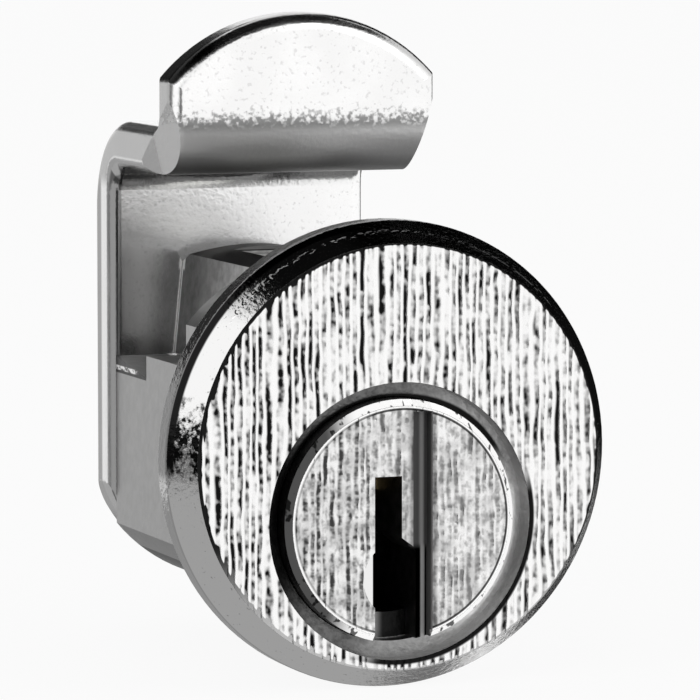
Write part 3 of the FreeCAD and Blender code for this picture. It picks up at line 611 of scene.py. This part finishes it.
def plug_finish():
    spot = Spot("bright_nickel_on_brass")
    finish = spot.finish
    grain = scratches(spot, 0.40, 0.12, 1.8, 21.0)
    cloud = finish.noise(spot.place, (1.1, 1.1, 1.1), detail=3.0, shift=9)
    flecks = finish.noise(spot.place, (2.0, 0.01, 1.4), detail=2.0, roughness=0.6, shift=33)

    below_face = finish.less(spot.depth, PLUG_FACE_DEPTH)
    on_face = finish.below(below_face, 0.005, 0.015)
    on_bevel = finish.product(
        finish.below(below_face, HEAD_BEVEL, HEAD_BEVEL + 0.08),
        finish.above(spot.from_plug, BEVEL_START - 0.03, BEVEL_START),
    )
    rubbed = finish.product(
        finish.below(spot.across, KEYWAY_LEFT - 0.01, KEYWAY_LEFT + 0.01),
        finish.below(below_face, WEAR_DEPTH + 0.01, WEAR_DEPTH + 0.03),
    )
    in_groove, groove_level = guide_groove(spot, below_face)
    # Painted shade: the bevel is darker at its left.
    rim_level = finish.product(
        finish.ramp(flecks, 0.36, 0.42, 0.12, 0.95), finish.ramp(spot.across, -4.2, -2.4, 0.08, 1.0),
    )
    # Painted shade: the plug's sides, keyway and other inner faces are dark.
    level = finish.ramp(cloud, 0.3, 0.7, 0.10, 0.2)
    level = finish.blend(in_groove, level, groove_level)
    level = finish.blend(rubbed, level, 0.85)
    level = finish.blend(on_bevel, level, rim_level)
    level = finish.blend(on_face, level, head_level(spot, grain, cloud, flecks))

    rough = finish.blend(finish.math("MAXIMUM", on_bevel, rubbed), 0.35, 0.12)
    rough = finish.blend(in_groove, rough, 0.55)
    rough = finish.blend(on_face, rough, 0.22)
    rolled_edge = finish.product(spot.from_plug, EDGE_ROLL)
    relief = finish.blend(on_bevel, finish.product(cloud, 0.3), rolled_edge)
    relief = finish.blend(on_face, relief, finish.less(1.0, grain))
    return finish.wire(finish.grey(level, 0.004), rough, relief, 0.03)


# %% [markdown]
# ## The cam's finish
#
# The cam is thick sheet steel, bent cold and then plated. Plating over rolled sheet keeps a faint
# orange-peel texture, so small round noise moves the surface up and down by a few hundredths of a
# millimetre and the reflections break up into specks. The outside of the hook's bend was stretched,
# and there the plating is duller, with a ragged edge and painted bands of shade across it. The
# sheet's left side, its rounded edges and the hook's crown carry painted light and shade. The back
# is satin all over.

# %% Finish the cam
BEND_TOP = 17.1
BEND_BACK = 13.9
PLATE_FRONT = 21.4
PLATE_TOP = 12.5
CROWN = 18.6


def hook_bend(spot, peel):
    """Where the outside of the hook's bend is, and its painted shade, darker at top and bottom."""
    finish = spot.finish
    ragged = finish.total(spot.height, finish.ramp(peel, 0.3, 0.7, -0.4, 0.4))
    inside = finish.product(
        finish.below(ragged, BEND_TOP - 0.55, BEND_TOP + 0.25),
        finish.below(spot.depth, BEND_BACK - 0.6, BEND_BACK),
    )
    level = finish.product(
        finish.ramp(spot.height, BEND_TOP - 1.1, BEND_TOP - 0.5, 0.8, 0.32),
        finish.ramp(spot.height, BEND_TOP - 3.1, BEND_TOP - 2.2, 0.4, 1.0),
    )
    return inside, level


def side_level(spot):
    """The sheet's left side: white along the plate's front, bright where it faces down, then grey."""
    finish = spot.finish
    # Painted light: lighter higher up, bright where it faces down, white by the plate's front.
    level = finish.ramp(spot.height, PLATE_TOP, PLATE_TOP + 1.0, 0.36, 0.53)
    level = finish.blend(finish.below(spot.facing["up"], -0.2, -0.08), level, 0.85)
    near_front = finish.product(
        finish.below(spot.depth, PLATE_FRONT + 1.1, PLATE_FRONT + 1.4),
        finish.below(spot.height, PLATE_TOP, PLATE_TOP + 1.0),
    )
    return finish.blend(near_front, level, 0.97)


def cam_finish():
    spot = Spot("satin_nickel_on_sheet")
    finish = spot.finish
    peel = finish.noise(spot.place, (3.6, 3.6, 3.6), detail=2.0, roughness=0.5, shift=1)
    cloud = finish.noise(spot.place, (0.35, 0.35, 0.35), detail=3.0, shift=4)
    level = finish.product(
        finish.ramp(cloud, 0.3, 0.7, 0.93, 0.98), finish.ramp(peel, 0.30, 0.42, 0.84, 1.0),
    )
    rough = finish.ramp(cloud, 0.3, 0.7, 0.15, 0.23)

    in_bend, bend_level = hook_bend(spot, peel)
    level = finish.blend(in_bend, level, bend_level)
    rough = finish.blend(in_bend, rough, 0.42)
    on_side = finish.below(spot.facing["right"], -0.88, -0.75)
    level = finish.blend(on_side, level, side_level(spot))
    # Painted shade: the rounded edges beside the plate's front are dark.
    on_plate_edge = finish.product(
        finish.below(spot.facing["right"], -0.15, -0.05),
        finish.above(spot.facing["right"], -0.88, -0.75),
        finish.above(spot.depth, PLATE_FRONT - 0.2, PLATE_FRONT - 0.1),
    )
    level = finish.blend(on_plate_edge, level, 0.28)
    # Painted dark reflection on the hook's crown, near black at its left.
    on_crown = finish.product(
        finish.above(spot.facing["up"], 0.3, 0.5), finish.above(spot.height, CROWN, CROWN + 0.3),
    )
    level = finish.blend(on_crown, level, finish.ramp(spot.across, -5.6, -4.2, 0.02, 0.62))
    on_back = finish.above(spot.facing["back"], 0.5, 0.8)
    level = finish.blend(on_back, level, 0.86)
    rough = finish.blend(on_back, rough, 0.30)
    fading = finish.ramp(spot.height, PLATE_TOP - 2.0, PLATE_TOP + 0.5, 0.35, 1.0)
    relief = finish.product(peel, fading)
    return finish.wire(finish.grey(level, 0.003), rough, relief, 0.014)


# %% [markdown]
# ## Plain turned and rolled metal
#
# Screws, washers, pins and springs are small and mostly hidden, and each is one metal all over. Fine
# rings left by the lathe and a little cloudiness keep them from looking like plastic.

# %% Finish the small pieces
def plain_metal(name, color, roughness, lines_per_mm, along):
    """A metal with tool marks; along says which way the marks are spaced."""
    spot = Spot(name)
    finish = spot.finish
    stretch = tuple(lines_per_mm if axis == along else 0.4 for axis in "xyz")
    marks = finish.noise(spot.place, stretch, detail=2.0, shift=13)
    cloud = finish.noise(spot.place, (0.8, 0.8, 0.8), detail=3.0, shift=17)
    dull = finish.product(
        finish.ramp(cloud, 0.3, 0.7, 0.9, 1.0), finish.ramp(marks, 0.3, 0.5, 0.85, 1.0),
    )
    channels = {key: finish.product(dull, part) for key, part in zip(("Red", "Green", "Blue"), color)}
    tone = finish.node("ShaderNodeCombineColor", {}, channels)
    rough = finish.ramp(cloud, 0.3, 0.7, roughness - 0.02, roughness + 0.03)
    return finish.wire(tone, rough, marks, 0.01)


brass = plain_metal("turned_brass", (0.80, 0.60, 0.30), 0.28, 9.0, "z")
rolled_nickel = plain_metal("rolled_nickel_strip", (0.62, 0.62, 0.60), 0.32, 6.0, "x")
spring_wire = plain_metal("drawn_spring_wire", (0.66, 0.66, 0.64), 0.25, 5.0, "z")
zinc_plate = plain_metal("bright_zinc_plate", (0.74, 0.75, 0.76), 0.30, 8.0, "y")

# %% [markdown]
# ## Dress every solid
#
# Each solid keeps its shape and gets a finish in its material slots. A dictionary from the start of
# a piece's name to its finish keeps the fifteen pins and springs to three lines.

# %% Hand out the finishes
finishes = {
    "shell": shell_finish(),
    "plug": plug_finish(),
    "hook_cam": cam_finish(),
    "key_pin": brass,
    "driver_pin": brass,
    "pin_spring": spring_wire,
    "chamber_cover": rolled_nickel,
    "stop_washer": zinc_plate,
    "lock_washer": zinc_plate,
    "cam_screw": zinc_plate,
}
for name, solid in nodes.items():
    kind = name.rstrip("_12345") if name not in finishes else name
    solid.data.materials.clear()
    solid.data.materials.append(finishes[kind])
print("dressed", len(nodes), "solids in", len(set(finishes.values())), "finishes")

# %% [markdown]
# ## The floor
#
# A catalogue picture has a plain white ground. The floor is a pale sheet just under the flange.
# Rays that come straight from the camera see it nearly as bright as the sky. For soft light it is
# an ordinary pale surface, so that it doesn't flood the lock with light. The metal doesn't mirror
# it at all: cards that are hung further down are there for that.

# %% Lay the floor
FLOOR_HALF = 4.0
FLOOR_GAP = 0.02 * MM
FLOOR_GLOW = 0.92


def seen_directly(tree):
    """1 for rays from the camera or from a mirror-like reflection, and 0 for others."""
    path = tree.nodes.new("ShaderNodeLightPath")
    total = path.outputs["Is Camera Ray"]
    for name in ("Is Glossy Ray", "Is Transmission Ray"):
        either = tree.nodes.new("ShaderNodeMath")
        either.operation = "MAXIMUM"
        tree.links.new(total, either.inputs[0])
        tree.links.new(path.outputs[name], either.inputs[1])
        total = either.outputs[0]
    return total


def stage_sheet(name, places, faces):
    """A sheet that belongs to the stage and not to the lock."""
    mesh = bpy.data.meshes.new(name)
    mesh.from_pydata(places, [], faces)
    sheet = bpy.data.objects.new(name, mesh)
    bpy.context.scene.collection.objects.link(sheet)
    return sheet


def white_paper():
    material = bpy.data.materials.new("white_paper")
    material.use_nodes = True
    tree = material.node_tree
    paper = tree.nodes["Principled BSDF"]
    paper.inputs["Base Color"].default_value = (0.95, 0.95, 0.95, 1)
    paper.inputs["Roughness"].default_value = 0.9
    glow = tree.nodes.new("ShaderNodeEmission")
    both = tree.nodes.new("ShaderNodeMixShader")
    share = tree.nodes.new("ShaderNodeMath")
    share.operation = "MULTIPLY"
    share.inputs[1].default_value = FLOOR_GLOW
    tree.links.new(seen_directly(tree), share.inputs[0])
    tree.links.new(share.outputs[0], both.inputs[0])
    tree.links.new(paper.outputs[0], both.inputs[1])
    tree.links.new(glow.outputs[0], both.inputs[2])
    tree.links.new(both.outputs[0], tree.nodes["Material Output"].inputs["Surface"])
    return material


floor_height = cad_box[0][2] - FLOOR_GAP
floor_signs = ((-1, -1), (1, -1), (1, 1), (-1, 1))
floor_corners = [(FLOOR_HALF * x, FLOOR_HALF * y, floor_height) for x, y in floor_signs]
floor = stage_sheet("floor", floor_corners, [(0, 1, 2, 3)])
floor.data.materials.append(white_paper())
floor.visible_glossy = False

# %% [markdown]
# ## The sky
#
# The sky is white where it is seen, in the picture or in the metal, and half as bright for soft
# light.

# %% Light the sky
SOFT_LIGHT = 0.5

world = bpy.data.worlds.new("white_sky")
bpy.context.scene.world = world
world.use_nodes = True
sky = world.node_tree
shown = sky.nodes["Background"]
shown.inputs["Color"].default_value = (1, 1, 1, 1)
shown.inputs["Strength"].default_value = 1.0
ambient = sky.nodes.new("ShaderNodeBackground")
ambient.inputs["Color"].default_value = (1, 1, 1, 1)
ambient.inputs["Strength"].default_value = SOFT_LIGHT
choose = sky.nodes.new("ShaderNodeMixShader")
sky.links.new(seen_directly(sky), choose.inputs[0])
sky.links.new(ambient.outputs[0], choose.inputs[1])
sky.links.new(shown.outputs[0], choose.inputs[2])
sky.links.new(choose.outputs[0], sky.nodes["World Output"].inputs["Surface"])

# %% [markdown]
# ## Black flags and grey cards
#
# Shiny metal shows whatever is round it, and in an all-white room it turns into white paper. A
# photographer hangs black cards, called flags, just outside the picture, and their reflections draw
# the dark lines that make metal look like metal. Each card here is a patch of a large ball round
# the lock, given by its compass direction (0 is to the right of the lock, 90 is behind it) and by
# its height above the horizon, both in degrees. They are hidden from the camera and from soft
# light, so only reflections show them.

# %% Hang the flags
CARD_DISTANCE = 1.5
CARD_STEPS = 12


def card_glow(name, level):
    """A material that is equally bright all over."""
    material = bpy.data.materials.new(name)
    material.use_nodes = True
    tree = material.node_tree
    glow = tree.nodes.new("ShaderNodeEmission")
    glow.inputs["Color"].default_value = (level, level, level, 1)
    tree.links.new(glow.outputs[0], tree.nodes["Material Output"].inputs["Surface"])
    return material


def card(name, directions, heights, level, distance=CARD_DISTANCE):
    """A card bent round the lock between two directions and two heights."""
    places = []
    for row in range(CARD_STEPS + 1):
        height = math.radians(heights[0] + (heights[1] - heights[0]) * row / CARD_STEPS)
        for column in range(CARD_STEPS + 1):
            part = column / CARD_STEPS
            direction = math.radians(directions[0] + (directions[1] - directions[0]) * part)
            flat = math.cos(height) * distance
            rise = math.sin(height) * distance
            places.append((flat * math.cos(direction), flat * math.sin(direction), rise))
    width = CARD_STEPS + 1
    faces = [
        (start, start + 1, start + 1 + width, start + width)
        for start in range(CARD_STEPS * width) if (start + 1) % width
    ]
    sheet = stage_sheet(name, places, faces)
    sheet.data.materials.append(card_glow(name, level))
    sheet.visible_camera = False
    sheet.visible_diffuse = False
    sheet.visible_shadow = False


card("overhead_flag", (0, 360), (54, 90), 0.01)
card("front_overhead_flag", (-130, 20), (42, 54), 0.02)
card("right_flag", (29, 58), (-25, 54), 0.01)
card("back_card", (78, 132), (9, 40), 0.07)
card("low_back_card", (58, 95), (-12, 2), 0.8)
card("camera_flag", (-122, -101), (-14, 24), 0.03)
card("left_card", (95, 192), (-12, 7), 0.8)
card("left_line_flag", (156, 185), (-12, 2), 0.2, distance=0.9 * CARD_DISTANCE)
card("low_left_card", (58, 200), (-90, -12), 0.36)
card("low_front_card", (-160, 58), (-90, -32), 0.15)

# %% [markdown]
# ## Soft lamps
#
# Two large soft lamps give the satin surfaces a gentle fall of light. Large lamps keep the edges of
# the highlights soft. They aren't strong: the metal is already lit by the white room.

# %% Place the lamps
def soft_lamp(name, place, size, power):
    """A square lamp that faces the lock."""
    data = bpy.data.lights.new(name, "AREA")
    data.size = size
    data.energy = power
    lamp = bpy.data.objects.new(name, data)
    lamp.location = place
    lamp.rotation_euler = (-Vector(place)).to_track_quat("-Z", "Y").to_euler()
    bpy.context.scene.collection.objects.link(lamp)


soft_lamp("left_lamp", (-0.8, -0.6, 0.6), 0.7, 2.0)
soft_lamp("right_lamp", (0.7, -0.9, 0.5), 0.6, 1.2)
bpy.context.scene.view_settings.view_transform = "Standard"
